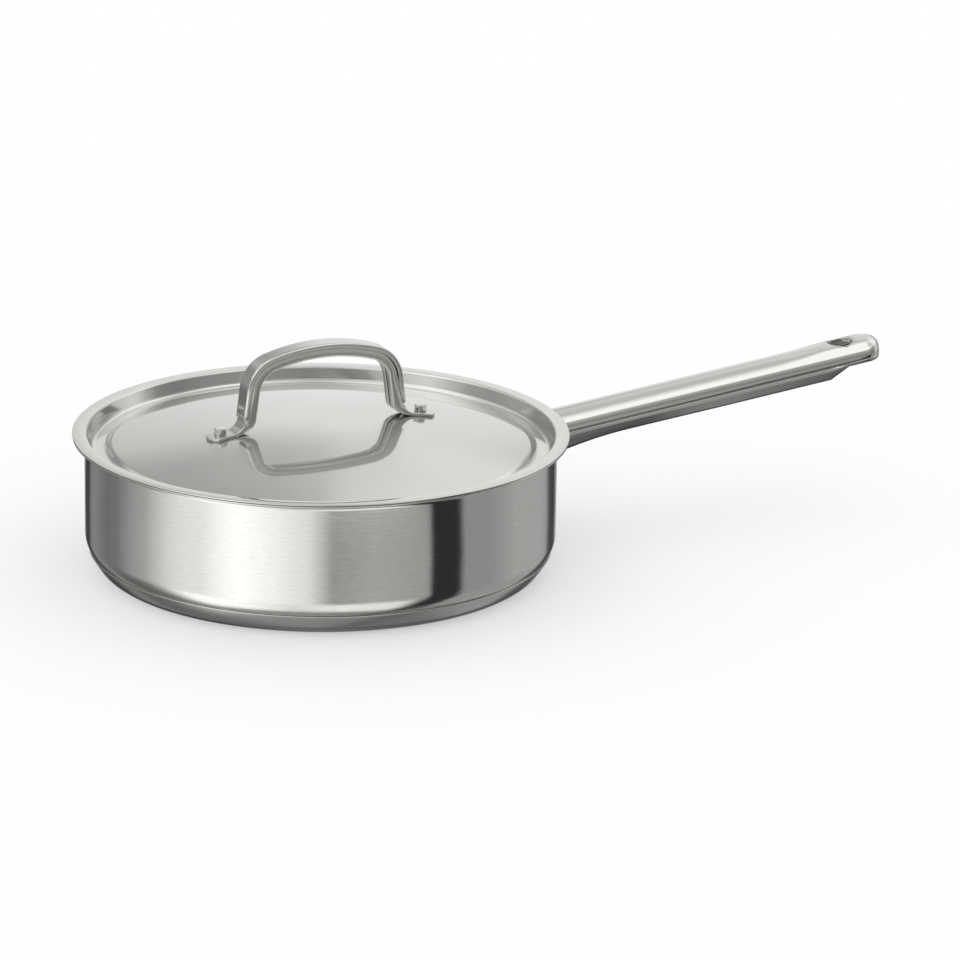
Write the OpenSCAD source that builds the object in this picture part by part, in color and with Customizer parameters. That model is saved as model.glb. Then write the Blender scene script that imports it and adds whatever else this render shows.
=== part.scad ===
// Saute pan with lid in stainless steel, 24 cm.
// The origin is the centre of the base's underside, +Z is up and +X runs out along the long handle.

/* [Pan body] */
// Inside diameter of the pan
inner_d = 240; // [180:5:300]
// Thickness of the drawn sheet
wall = 1.0; // [0.8:0.1:1.5]
// Height of the rim's top above the table
rim_z = 71.3; // [60:0.5:100]
// How far the flat rim reaches out past the wall
rim_out = 6.0; // [5:0.5:9]
// Radius under the bend from the wall to the rim
rim_bend = 2.0; // [1.5:0.5:3]
// Outer radius of the corner from the wall to the floor
corner_r = 15; // [13:1:18]

/* [Encapsulated base] */
// Thickness of the aluminium core under the floor
core_t = 4.5; // [3:0.5:7]
// Thickness of the steel cup that closes the base
cap_t = 0.5; // [0.4:0.1:0.8]
// Height of the steel cup's lip above the table
cap_h = 12; // [10:0.5:13]
// Outer corner radius of the steel cup
cap_r = 12; // [8:0.5:14]
// How far the core stays below the cup's lip
core_below_lip = 1.2; // [0.8:0.2:3]
// Thickness of the bond between the core and the cup
bond = 0.05; // [0.05:0.05:0.2]

/* [Long handle] */
// Length from the pan's wall to the tip, along the handle
handle_len = 207; // [170:1:240]
// Width over the side bands
handle_w = 23; // [20:0.5:28]
// Thickness of the formed sheet
handle_t = 1.2; // [1.0:0.1:1.6]
// Upward slope in degrees
handle_tilt = 6.4; // [2:0.2:10]
// Height of the crease line above the table, at the pan's wall
handle_z = 56.9; // [50:0.5:58]
// Height of the crown above the crease line
crown_h = 9.9; // [8:0.1:11]
// Radius of the crown, seen along the handle
crown_r = 14; // [13:0.2:16]
// Radius between the crown and the side band
band_r = 5; // [3:0.5:5]
// Radius over the edge of the round tip
tip_r = 5.5; // [3:0.5:6]
// Depth of the lower flange below the crease line
flange_h = 6.3; // [5:0.1:8]
// How far the lower edge of each flange leans inwards
flange_lean = 1.0; // [0.5:0.1:2]
// Extra depth of the flange where it meets the wall
root_drop = 5.4; // [0:0.1:6]
// Length over which that extra depth runs out
root_len = 50; // [30:1:60]
// Distance from the tip to where the lower flange ends
flange_end = 21.5; // [18:0.5:28]
// Length of the slanted end of the lower flange
flange_slant = 13.2; // [8:0.2:20]
// Diameter of the hanging hole
hole_d = 13; // [10:0.5:14]
// Distance from the tip to the middle of the hanging hole
hole_in = 22; // [19:0.5:32]
// Depth of the collar drawn down round the hanging hole
collar_h = 4.4; // [3.6:0.2:6]

/* [Handle bracket] */
// Thickness of the bracket inside the handle's root
bracket_t = 2.0; // [1.5:0.5:3]
// Width of the bracket
bracket_w = 15; // [10:1:16]
// Length of the bracket's tongue
bracket_len = 34; // [25:1:45]

/* [Lid] */
// Thickness of the lid's sheet
lid_t = 0.8; // [0.6:0.1:1.0]
// How far the lid's edge stands out past the pan's rim
lid_over = 0.2; // [0:0.1:1]
// Gap between the lid's flange and the rim it sits on
seat_gap = 0.1; // [0.05:0.05:0.3]
// Gap between the lid's channel wall and the inside of the pan
lid_gap = 0.4; // [0.3:0.1:1]
// Depth of the lid's channel below its flange
channel_h = 8.0; // [6.5:0.5:10]
// Lean of the channel's outer wall in degrees
channel_lean = 15; // [10:1:20]
// Radius over the bend from the flange into the channel
lid_bend = 1.4; // [1.4:0.1:2.5]
// Radius in the foot of the channel's outer wall
channel_r = 2.0; // [1:0.5:3]
// Radius of both halves of the step from the channel up to the dome
step_r = 8; // [6:0.5:10]
// Radius of the dome's curve
dome_r = 500; // [400:10:700]
// Height of the dome's edge above the channel's floor
dome_up = 3.0; // [2:0.2:5]
// Distance from the inside of the pan to the edge of the dome
dome_in = 16; // [14:0.5:20]

/* [Lid handle] */
// Distance between the two studs
stud_gap = 112; // [90:1:130]
// Diameter of a stud
stud_d = 6.1; // [5:0.1:8]
// Height of a stud above its tab
stud_h = 3.5; // [2:0.1:5]
// Gap round a stud in its tab
stud_fit = 0.1; // [0.05:0.05:0.3]
// Height of the grip's top above the tabs
arch_h = 43.1; // [36:0.1:50]
// Radius along the top of the grip
arch_r = 100; // [90:1:130]
// Radius of the grip's shoulders
shoulder_r = 20; // [16:1:22]
// Outward lean of the legs in degrees
leg_lean = 7; // [4:1:10]
// Width of the grip
grip_w = 12; // [11:0.5:16]
// Depth of the whole handle, from the grip's top to the lower edge of the strap's sides
grip_depth = 7.4; // [6.5:0.1:9]
// Depth of the grip's own folded sides
fold_depth = 2.6; // [2:0.1:4]
// Thickness of the grip's sheet
grip_t = 0.8; // [0.6:0.1:1.2]
// Height above the tabs at which the grip's sheet ends
lip_h = 7.4; // [6.8:0.2:12]
// Thickness of the strap under the grip
strap_t = 1.5; // [1.2:0.1:2]
// Gap between the strap and the grip that is folded over it
nest_gap = 0.05; // [0.05:0.05:0.15]
// Radius of the bend from the leg out to the tab
foot_r = 7; // [5:0.5:9]
// Flat length of the tab between its bend and the stud
tab_flat = 5.6; // [4.6:0.2:7]
// Length of the tab beyond the stud's middle
tab_end = 7.3; // [6:0.1:9]
// Width of the tab where its round end starts
tab_w = 14.4; // [13:0.2:18]
// Radius of the tab's round end
tab_end_r = 8.6; // [8.5:0.1:14]
// Distance before the stud's middle at which the strap starts to flare out
flare_start = 3; // [1:0.5:8]
// Gap between the tab and the dome where they are closest
tab_gap = 0.05; // [0.05:0.05:0.2]

/* [Hidden] */
$fn = 96;

// Pan body and base
inner_r = inner_d / 2;
body_r = inner_r + wall;
rim_r = body_r + rim_out;
rim_under = rim_z - wall;
floor_under = cap_t + core_t;
// The cup's lip stands this far out of the vessel's corner
lip_out = 0.1;
// Radius of the vessel's outside at the height of the cup's lip
lip_seat_r = body_r - corner_r
    + sqrt(pow(corner_r, 2) - pow(floor_under + corner_r - cap_h, 2));
// The cup's side leans as the vessel's corner does at the lip
cap_lean = asin((floor_under + corner_r - cap_h) / corner_r);
cap_n = [cos(cap_lean), -sin(cap_lean)];
cap_lip = [lip_seat_r + lip_out, cap_h] + cap_t * cap_n;
cap_middle_r = cap_lip.x - (cap_r + (cap_h - cap_r) * sin(cap_lean)) / cos(cap_lean);
core_top = cap_h - core_below_lip;

// Lid
lid_top = rim_z + seat_gap + lid_t;
lid_r = rim_r + lid_over;
// Unit vector square to the channel's outer wall, towards the pan's axis
lean_n = [-cos(channel_lean), sin(channel_lean)];
bend_z = lid_top - lid_bend;
// Height at which the inside of the pan starts to bend outwards
mouth_z = rim_under - rim_bend;
bend_x = inner_r - lid_gap
    - ((mouth_z - bend_z) * lean_n.y - (lid_bend - lid_t)) / cos(channel_lean);
channel_z = lid_top - channel_h;
foot_z = channel_z + channel_r;
foot_x = bend_x + ((foot_z - bend_z) * lean_n.y - lid_bend - channel_r) / cos(channel_lean);
dome_edge = asin((inner_r - dome_in) / dome_r);
dome_z = channel_z + dome_up - dome_r * cos(dome_edge);
knee = [0, dome_z] + (dome_r - step_r) * [sin(dome_edge), cos(dome_edge)];
step_z = channel_z + step_r;
step_angle = acos((step_z - knee.y) / (2 * step_r));
step_x = knee.x + 2 * step_r * sin(step_angle);
// Height of the dome's top surface at a distance from the axis
function dome_at(r) = dome_z + sqrt(pow(dome_r, 2) - pow(r, 2));

// Lid handle, seen from its side. Its tabs lie along the dome's slope at the studs
tab_lean = asin(stud_gap / 2 / dome_r);
tab_d = [cos(tab_lean), -sin(tab_lean)];
tab_n = [sin(tab_lean), cos(tab_lean)];
// A place on the right tab, along it from the stud's middle and up from its underside
function tab_at(along, up) =
    [stud_gap / 2, dome_at(stud_gap / 2)] + along * tab_d + (tab_gap + up) * tab_n;
tab_top = tab_at(0, strap_t).y;
tab_tip_x = stud_gap / 2 + tab_end;
cover_off = grip_t + nest_gap;
strap_apex = tab_top + arch_h - cover_off;
top_r = arch_r - cover_off;
turn_r = shoulder_r - cover_off;
leg_n = [cos(leg_lean), sin(leg_lean)];
foot_c = tab_at(-tab_flat, strap_t + foot_r);
top_c = [0, strap_apex - top_r];
turn_angle = asin((foot_c * leg_n - foot_r - turn_r - top_c * leg_n) / (top_r - turn_r)) - leg_lean;
turn_c = top_c + (top_r - turn_r) * [sin(turn_angle), cos(turn_angle)];
side_depth = grip_depth - cover_off;
fold_end = fold_depth - cover_off;
// The lower edge of the strap's sides runs out to the tab in a tight and then a long curve
heel_r = 7;
sole_r = 28;
sole_angle = 28;
to_heel = (heel_r - sole_r) * [sin(sole_angle), cos(sole_angle)];
heel_reach = turn_c * leg_n + turn_r - side_depth + heel_r;
sole_along = (heel_reach - (tab_at(0, sole_r) + to_heel) * leg_n) / (tab_d * leg_n);
sole_c = tab_at(sole_along, sole_r);
heel_c = sole_c + to_heel;
lip_z = tab_top + lip_h;

// Points of an arc; skip = 1 leaves out the first one
function arc(c, r, a0, a1, n, skip = 0) =
    [for (i = [skip:n]) c + r * [cos(a0 + (a1 - a0) * i / n), sin(a0 + (a1 - a0) * i / n)]];
function flip(points) = [for (i = [len(points) - 1:-1:0]) points[i]];
function other_side(points) = flip([for (p = points) [-p.x, p.y]]);

// Pan body: one surface of the sheet, off above its underside, from the rim to the middle
function vessel_side(off) = concat(
    [[rim_r, rim_under + off]],
    arc([body_r + rim_bend, rim_under - rim_bend], rim_bend + off, 90, 180, 8),
    arc([body_r - corner_r, floor_under + corner_r], corner_r - off, 0, -90, 14),
    [[0, floor_under + off]]);

// Steel cup of the base: one surface, off inside its outer face, from below the lip to the middle
function cap_side(off, below_lip) = concat(
    [cap_lip - off * cap_n - below_lip / cos(cap_lean) * [sin(cap_lean), cos(cap_lean)]],
    arc([cap_middle_r, cap_r], cap_r - off, -cap_lean, -90, 12),
    [[0, off]]);

// Lid: one surface of the sheet, off below its top, from the edge to the middle
function lid_side(off) = concat(
    [[lid_r, lid_top - off]],
    arc([bend_x, bend_z], lid_bend - off, 90, 180 - channel_lean, 6),
    arc([foot_x, foot_z], channel_r + off, -channel_lean, -90, 6),
    arc([step_x, step_z], step_r + off, -90, -90 - step_angle, 7),
    arc(knee, step_r - off, 90 - step_angle, 90 - dome_edge, 5, 1),
    arc([0, dome_z], dome_r - off, 90 - dome_edge, 90, 12, 1));

module turned_sheet(side, other) {
    rotate_extrude() polygon(concat(side, flip(other)));
}

module vessel() {
    color("silver") turned_sheet(vessel_side(0), vessel_side(wall));
}

// The core fills the space between the vessel's underside and the steel cup
module core_disc() {
    under = cap_side(cap_t + bond, core_below_lip);
    over = [for (p = vessel_side(0)) if (p.y <= core_top) p];
    color("lightgray") turned_sheet(under, over);
}

module base_cap() {
    color("gainsboro") turned_sheet(cap_side(0, 0), cap_side(cap_t, 0));
}

// The handle's own frame has its origin on the crease line at the wall, +X to the tip
module at_handle() {
    translate([body_r, 0, handle_z]) rotate([0, -handle_tilt, 0]) children();
}

// Right half of the crown and side band, off inside the outer face, from the top down to h = 0
function crown_half(off) =
    let (band_x = handle_w / 2 - band_r,
         crown_z = crown_h - crown_r,
         band_z = crown_z + sqrt(pow(crown_r - band_r, 2) - pow(band_x, 2)),
         join_angle = atan2(band_z - crown_z, band_x))
    concat(
        arc([0, crown_z], crown_r - off, 90, join_angle, 7),
        arc([band_x, band_z], band_r - off, join_angle, 0, 4, 1),
        [[handle_w / 2 - off, 0]]);

// Flange depths past which the side outline cuts the section off
flange_room = flange_h + root_drop;

// Whole section, with the two flanges leaning in below the crease line
function handle_section(off) =
    let (lean = flange_lean * flange_room / flange_h,
         half = concat(crown_half(off), [[handle_w / 2 - lean - off, -flange_room - off]]))
    concat(other_side(half), [for (i = [1:len(half) - 1]) half[i]]);

// Middle of the round end
tip_x = handle_len - handle_w / 2;

// The section run straight along the handle between two places
module handle_run(off, start, end) {
    translate([start, 0, 0]) rotate([90, 0, 90])
        linear_extrude(end - start) polygon(handle_section(off));
}

// The section from inside the pan's wall to the tip, which is round in plan and over its edge
module handle_body(off) {
    tip = concat(
        [[0, crown_h - off]],
        arc([handle_w / 2 - tip_r, crown_h - tip_r], tip_r - off, 90, 0, 6),
        [[handle_w / 2 - off, -2 * flange_room], [0, -2 * flange_room]]);
    handle_run(off, -corner_r, tip_x);
    intersection() {
        handle_run(off, tip_x - handle_w / 4, handle_len);
        translate([tip_x, 0, 0]) rotate_extrude() polygon(tip);
    }
}

// What lies under the handle's lower edge, seen from the side
module handle_under_edge() {
    steps = 8;
    root = [for (i = [0:steps]) let (u = i / steps)
        [root_len * u, -flange_h - root_drop * pow(1 - u, 2)]];
    edge = concat(
        [[-2 * corner_r, -flange_h - root_drop]],
        root,
        [[handle_len - flange_end - flange_slant, -flange_h],
         [handle_len - flange_end, 0],
         [handle_len + handle_w, 0],
         [handle_len + handle_w, -2 * flange_room],
         [-2 * corner_r, -2 * flange_room]]);
    rotate([90, 0, 0]) translate([0, 0, -handle_w])
        linear_extrude(2 * handle_w) polygon(edge);
}

// Everything that the vessel's wall and the space inside it take up
module inside_wall() {
    cylinder(h = 2 * rim_z, r = body_r);
}

module handle() {
    hole_x = handle_len - hole_in;
    collar_r = hole_d / 2 + handle_t;
    color("darkgray") difference() {
        at_handle() difference() {
            union() {
                difference() {
                    handle_body(0);
                    handle_body(handle_t);
                    handle_under_edge();
                }
                intersection() {
                    translate([hole_x, 0, crown_h - collar_h]) cylinder(h = collar_h, r = collar_r);
                    handle_body(0);
                }
            }
            translate([hole_x, 0, -crown_h]) cylinder(h = 3 * crown_h, r = hole_d / 2);
        }
        inside_wall();
    }
}

// A plate on the wall and a tongue under the crown, which the handle is welded to
module handle_bracket() {
    crown_z = crown_h - crown_r;
    tongue_fit = 0.1;
    tongue_top = crown_z + sqrt(pow(crown_r - handle_t, 2) - pow(bracket_w / 2, 2)) - tongue_fit;
    color("dimgray") difference() {
        at_handle() {
            translate([-corner_r, -bracket_w / 2, tongue_top - bracket_t])
                cube([corner_r + bracket_len, bracket_w, bracket_t]);
            intersection() {
                translate([-corner_r, -bracket_w / 2, -flange_h])
                    cube([2 * corner_r, bracket_w, flange_h + tongue_top - bracket_t]);
                rotate([0, handle_tilt, 0]) translate([-body_r, 0, -handle_z])
                    cylinder(h = 2 * rim_z, r = body_r + bracket_t);
            }
        }
        inside_wall();
    }
}

module lid() {
    color("whitesmoke") turned_sheet(lid_side(lid_t), lid_side(0));
}

// Places its children at both ends of the lid handle
module both_ends() {
    for (side = [0, 180]) rotate([0, 0, side]) children();
}

// Each stud stands on the dome and goes up through its tab
module lid_studs() {
    dome = [for (p = lid_side(0)) if (p.y > channel_z) p];
    color("gainsboro") difference() {
        both_ends() translate([stud_gap / 2, 0, channel_z])
            cylinder(h = tab_top + stud_h - channel_z, r = stud_d / 2);
        rotate_extrude() polygon(concat([[0, 0], [dome[0].x, 0]], dome));
    }
}

// Right half of the path along the lid handle, off under the strap's upper surface
function arch_path(off) = concat(
    arc(top_c, top_r - off, 90, 90 - turn_angle, 6),
    arc(turn_c, turn_r - off, 90 - turn_angle, leg_lean, 9, 1));

// The strap's lower surface or its top, from the middle out to the end of the foot's bend
function strap_path(off) = concat(
    arch_path(off),
    arc(foot_c, foot_r + off, 180 + leg_lean, 270 - tab_lean, 8));

// Lower edge of the strap's sides, from the middle out to the tab's underside
function strap_edge() = concat(
    arch_path(side_depth),
    arc(heel_c, heel_r, 180 + leg_lean, 270 - sole_angle, 5),
    arc(sole_c, sole_r, 270 - sole_angle, 270 - tab_lean, 5, 1));

// Extrudes an outline of the side view across the lid handle's width
module across(width) {
    rotate([90, 0, 0]) translate([0, 0, -width / 2]) linear_extrude(width) children();
}

// Takes the right half of an upper line and of a lower line, and joins them on both sides
module side_view(upper, lower) {
    polygon(concat(
        other_side([for (i = [1:len(upper) - 1]) upper[i]]), upper,
        flip([for (i = [1:len(lower) - 1]) lower[i]]), [for (p = lower) [-p.x, p.y]]));
}

// Plan of the strap: a neck inside the grip that flares out to a tab with a round end
module strap_plan() {
    neck = grip_w / 2 - cover_off;
    end_angle = asin(tab_w / 2 / tab_end_r);
    half = concat(
        [[0, neck], [stud_gap / 2 - flare_start, neck]],
        arc([tab_tip_x - tab_end_r, 0], tab_end_r, end_angle, 0, 8));
    right = concat(half, [for (i = [len(half) - 2:-1:1]) [half[i].x, -half[i].y]]);
    union() {
        polygon(concat(right, [[0, -neck]]));
        rotate(180) polygon(concat(right, [[0, -neck]]));
    }
}

module lid_strap() {
    past_tip = tab_end + strap_t;
    upper = concat(strap_path(0), [tab_at(past_tip, strap_t)]);
    lower = concat(strap_edge(), [tab_at(past_tip, 0)]);
    web = strap_path(strap_t);
    drop = [[web[len(web) - 1].x, channel_z]];
    color("lightsteelblue") difference() {
        intersection() {
            across(tab_w) side_view(upper, lower);
            linear_extrude(lid_top + 2 * arch_h) strap_plan();
        }
        across(grip_w - 2 * cover_off - 2 * grip_t)
            polygon(concat(other_side(concat([for (i = [1:len(web) - 1]) web[i]], drop)), web, drop));
        both_ends() translate([stud_gap / 2, 0, 0])
            cylinder(h = lid_top + arch_h, r = stud_d / 2 + stud_fit);
    }
}

// The grip is folded over the strap and ends in a lip above each tab
module lid_grip() {
    function leg_end(off) = arch_path(off)[len(arch_path(off)) - 1];
    // Where the lip crosses the leg, square to it, off inwards from the strap's upper surface
    function at_lip(off) =
        let (outer = leg_end(-cover_off),
             run = (outer.y - lip_z) / leg_n.x)
        outer + run * [leg_n.y, -leg_n.x] - (off + cover_off) * leg_n;
    upper = concat(arch_path(-cover_off), [at_lip(-cover_off)]);
    lower = concat(arch_path(fold_end), [at_lip(fold_end)]);
    inside = concat(arch_path(-nest_gap), [at_lip(-nest_gap) + grip_t * [leg_n.y, -leg_n.x]]);
    under = concat(arch_path(fold_end + grip_t),
                   [at_lip(fold_end + grip_t) + grip_t * [leg_n.y, -leg_n.x]]);
    color("silver") difference() {
        across(grip_w) side_view(upper, lower);
        across(grip_w - 2 * grip_t) side_view(inside, under);
    }
}

vessel();
core_disc();
base_cap();
handle_bracket();
handle();
lid();
lid_studs();
lid_strap();
lid_grip();
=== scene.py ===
import math

import bpy
from mathutils import Matrix, Vector


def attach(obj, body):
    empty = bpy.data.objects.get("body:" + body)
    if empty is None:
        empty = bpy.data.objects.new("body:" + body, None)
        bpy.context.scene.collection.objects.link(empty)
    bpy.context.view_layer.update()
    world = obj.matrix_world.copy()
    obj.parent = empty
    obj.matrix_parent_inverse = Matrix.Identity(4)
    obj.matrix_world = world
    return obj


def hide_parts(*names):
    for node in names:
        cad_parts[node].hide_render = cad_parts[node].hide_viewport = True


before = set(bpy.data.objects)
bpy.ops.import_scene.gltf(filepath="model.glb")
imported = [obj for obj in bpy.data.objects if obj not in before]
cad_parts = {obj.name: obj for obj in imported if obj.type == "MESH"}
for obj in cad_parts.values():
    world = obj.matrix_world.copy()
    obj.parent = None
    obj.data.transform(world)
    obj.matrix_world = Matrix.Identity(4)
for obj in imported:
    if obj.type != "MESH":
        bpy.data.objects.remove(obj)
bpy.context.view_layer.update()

# Camera: a long lens about two and a half metres away, a little above the pan,
# looking down at the lid with the long handle running back to the right.
camera_at = (-0.9978, -2.2411, 0.8069)
camera_yaw = math.radians(25.907)
camera_pitch = math.radians(17.217)
camera_roll = math.radians(0.959)
ahead = Vector((math.sin(camera_yaw) * math.cos(camera_pitch),
                math.cos(camera_yaw) * math.cos(camera_pitch),
                -math.sin(camera_pitch)))
level = Vector((math.cos(camera_yaw), -math.sin(camera_yaw), 0))
below = ahead.cross(level)
image_right = math.cos(camera_roll) * level - math.sin(camera_roll) * below
image_down = math.sin(camera_roll) * level + math.cos(camera_roll) * below
bpy.ops.object.select_all(action="DESELECT")
bpy.ops.object.camera_add()
camera = bpy.context.object
camera.name = "camera"
camera.data.sensor_width = 36
camera.data.lens = 187.5
camera.data.clip_end = 50
turn = Matrix((image_right, -image_down, -ahead)).transposed().to_4x4()
camera.matrix_world = Matrix.Translation(camera_at) @ turn
bpy.context.scene.camera = camera
bpy.context.scene.view_settings.view_transform = "Standard"


# Studio: a white sweep all round, lit evenly. Metal sees what stands in such a
# studio: white panels, grey walls between them and a narrow black flag.
def add(tree, kind, values=None, **settings):
    """Adds a node, sets its inputs from numbers or from other nodes' sockets, and returns it."""
    made = tree.nodes.new(kind)
    for name, value in settings.items():
        setattr(made, name, value)
    for name, value in (values or {}).items():
        if isinstance(value, bpy.types.NodeSocket):
            tree.links.new(value, made.inputs[name])
        else:
            made.inputs[name].default_value = value
    return made


studio = bpy.data.worlds.new("studio")
bpy.context.scene.world = studio
studio.use_nodes = True
tree = studio.node_tree
tree.nodes.clear()
where = add(tree, "ShaderNodeTexCoord").outputs["Generated"]
# Turned so that +X points to the camera's side of the studio and +Y to its right.
camera_side = math.radians(114)
turned = add(tree, "ShaderNodeVectorRotate", {"Vector": where, "Angle": camera_side},
             rotation_type="Z_AXIS")
axes = add(tree, "ShaderNodeSeparateXYZ", {0: turned.outputs[0]})
bearing = add(tree, "ShaderNodeMath", {0: axes.outputs["Y"], 1: axes.outputs["X"]},
              operation="ARCTAN2")
round_it = add(tree, "ShaderNodeMapRange",
               {0: bearing.outputs[0], 1: -math.pi, 2: math.pi, 3: 0.0, 4: 1.0})
height = add(tree, "ShaderNodeMath", {0: axes.outputs["Z"]}, operation="ARCSINE")


def around(stops):
    """What stands round the pan at one height: bearings in degrees and how bright each is."""
    made = add(tree, "ShaderNodeValToRGB", {0: round_it.outputs[0]})
    marks = made.color_ramp.elements
    marks.remove(marks[-1])
    for n, (degrees, grey) in enumerate(stops):
        turn_share = (degrees + 180) / 360
        mark = marks[0] if n == 0 else marks.new(turn_share)
        mark.position = turn_share
        mark.color = (grey, grey, grey, 1)
    return made.outputs[0]


# Bearing 0 is the camera's side, 90 its right and -90 its left. First the table right under
# the pan, then a little way out, with the flag's foot on it.
under = around([
    (-180, 0.22), (-150, 0.18), (-100, 0.22), (-60, 0.36), (0, 0.34), (42, 0.28), (50, 0.14),
    (66, 0.14), (72, 0.24), (110, 0.24), (135, 0.14), (150, 0.12), (180, 0.22)])
near = around([
    (-180, 0.20), (-162, 0.05), (-150, 0.07), (-144, 0.32), (-136, 0.28), (-128, 0.16),
    (-112, 0.18), (-100, 0.28), (-92, 0.50), (-84, 0.90), (-74, 1.45), (-64, 1.55), (-44, 1.52),
    (-30, 1.30), (-14, 1.05), (0, 1.12), (14, 1.22), (42, 1.12), (48, 0.80), (52.5, 0.32),
    (57.5, 0.04), (75.5, 0.04), (78, 0.38), (90, 0.42), (128, 0.42), (138, 0.48), (143, 0.15),
    (155, 0.06), (166, 0.20), (180, 0.20)])
# The far table: a bright sweep on the left, grey on the right, the black flag and two dark gaps.
far = around([
    (-180, 0.65), (-176, 0.72), (-171, 0.35), (-165, 0.07), (-156, 0.05), (-151, 0.25),
    (-145, 0.30), (-128, 0.21), (-118, 0.24), (-104, 0.44), (-95, 0.53), (-80, 0.95), (-72, 1.08),
    (-60, 1.15), (-50, 1.42), (-40, 1.58), (-26, 1.42), (-6, 1.08), (0, 0.76), (6, 0.42),
    (26, 0.52), (54.5, 0.46), (56, 0.035), (71.5, 0.035), (74.5, 0.38), (90, 0.38), (112, 0.52),
    (134, 0.50), (144, 0.42), (149, 0.10), (160, 0.05), (174, 0.60)])
# The studio's walls at the pan's height, grey behind the camera and white behind the pan.
wall = around([
    (-180, 0.98), (-174, 0.79), (-169, 0.72), (-163, 0.40), (-145, 0.33), (-130, 0.37),
    (-120, 0.44), (-108, 0.44), (-95, 0.38), (-80, 0.42), (-68, 0.66), (-55, 0.92), (-44, 0.80),
    (-30, 0.58), (-18, 0.44), (-6, 0.36), (6, 0.27), (25, 0.34), (48, 0.33), (62, 0.32),
    (78, 0.24), (90, 0.30), (98, 0.58), (106, 0.90), (122, 0.75), (134, 0.46), (148, 0.46),
    (158, 0.52), (166, 0.72), (173, 0.92), (180, 0.98)])
# Two big panels, at the left and the right behind.
panels = around([
    (-180, 0.66), (-177, 0.56), (-172, 0.50), (-165, 0.48), (-150, 0.55), (-142, 0.80),
    (-130, 0.88), (-116, 0.72), (-104, 0.80), (-90, 1.0), (-78, 1.28), (-62, 1.45), (-48, 1.30),
    (-36, 1.05), (-24, 0.90), (-12, 0.68), (4, 0.58), (24, 0.64), (44, 0.52), (64, 0.46),
    (84, 0.38), (96, 0.42), (104, 0.70), (114, 1.15), (126, 1.38), (140, 1.10), (160, 1.00),
    (172, 0.98), (178, 0.86), (180, 0.66)])
# The ceiling, with a long soft box over each side.
ceiling = around([
    (-180, 0.85), (-160, 0.95), (-140, 1.25), (-100, 1.32), (-75, 1.30), (-60, 1.0), (-44, 0.80),
    (-28, 0.85), (-10, 0.65), (25, 0.68), (44, 0.66), (52, 0.95), (60, 1.45), (78, 1.50),
    (95, 1.32), (112, 1.10), (130, 0.85), (145, 0.72), (165, 0.76), (180, 0.85)])
# From straight down to straight up: between which two heights each one takes over, in degrees.
take_over = ((-66, -50, near), (-33, -22, far), (-11, 1, wall), (18, 30, panels), (44, 54, ceiling))
seen_by_metal = under
for low, high, next_up in take_over:
    share = add(tree, "ShaderNodeMapRange",
                {0: height.outputs[0], 1: math.radians(low), 2: math.radians(high), 3: 0.0, 4: 1.0},
                interpolation_type="SMOOTHSTEP")
    seen_by_metal = add(tree, "ShaderNodeMix", {0: share.outputs[0], 6: seen_by_metal, 7: next_up},
                        data_type="RGBA").outputs[2]
# Everything but a glossy ray sees plain white, which lights the pan evenly.
white = (1, 1, 1, 1)
path = add(tree, "ShaderNodeLightPath")
seen = add(tree, "ShaderNodeMix", {0: path.outputs["Is Glossy Ray"], 6: white, 7: seen_by_metal},
           data_type="RGBA")
back = add(tree, "ShaderNodeBackground", {0: seen.outputs[2], 1: 1.0})
add(tree, "ShaderNodeOutputWorld", {0: back.outputs[0]})

# Floor: a board of matt white paint, wide enough to fill the picture. Part of its white is
# its own light, so only a faint soft shadow is left under the pan.
floor_r = 6.0
floor_down = 0.0001
own_light = 0.38
bpy.ops.object.select_all(action="DESELECT")
bpy.ops.mesh.primitive_circle_add(vertices=128, radius=floor_r, fill_type="NGON",
                                  location=(0, 0, -floor_down))
floor = bpy.context.object
floor.name = "floor"
matt_white = bpy.data.materials.new("matt_white_paint")
matt_white.use_nodes = True
tree = matt_white.node_tree
tree.nodes.clear()
paint = add(tree, "ShaderNodeBsdfDiffuse", {0: (1 - own_light, 1 - own_light, 1 - own_light, 1)})
glow = add(tree, "ShaderNodeEmission", {0: white, 1: own_light})
both = add(tree, "ShaderNodeAddShader", {0: paint.outputs[0], 1: glow.outputs[0]})
add(tree, "ShaderNodeOutputMaterial", {0: both.outputs[0]})
floor.data.materials.append(matt_white)
floor.visible_glossy = False

# Pan body: 1 mm stainless sheet, deep drawn in one piece with a flat rolled-out rim,
# its wall brushed round and round to a satin finish. Sizes are in mm, and MM makes metres.
MM = 0.001
merge_gap = 0.002 * MM
round_steps = 256


def arc(x, z, radius, start, end, steps, skip=0):
    """Points (x, z) on an arc, angles in degrees."""
    turns = [math.radians(start + (end - start) * n / steps) for n in range(skip, steps + 1)]
    return [(x + radius * math.cos(a), z + radius * math.sin(a)) for a in turns]


def trace(name, points):
    """Starts a piece as one vertex and draws it out along points (x, z); stays in edit mode."""
    bpy.ops.object.select_all(action="DESELECT")
    bpy.ops.mesh.primitive_plane_add(size=MM)
    piece = bpy.context.object
    piece.name = piece.data.name = name
    bpy.ops.object.mode_set(mode="EDIT")
    bpy.ops.mesh.select_all(action="SELECT")
    bpy.ops.mesh.merge(type="CENTER")
    at = Vector((0, 0, 0))
    for n, (x, z) in enumerate(points):
        to = Vector((x, 0, z)) * MM
        if n == 0:
            bpy.ops.transform.translate(value=to - at)
        else:
            bpy.ops.mesh.extrude_vertices_move(TRANSFORM_OT_translate={"value": to - at})
        at = to
    return piece


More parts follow.
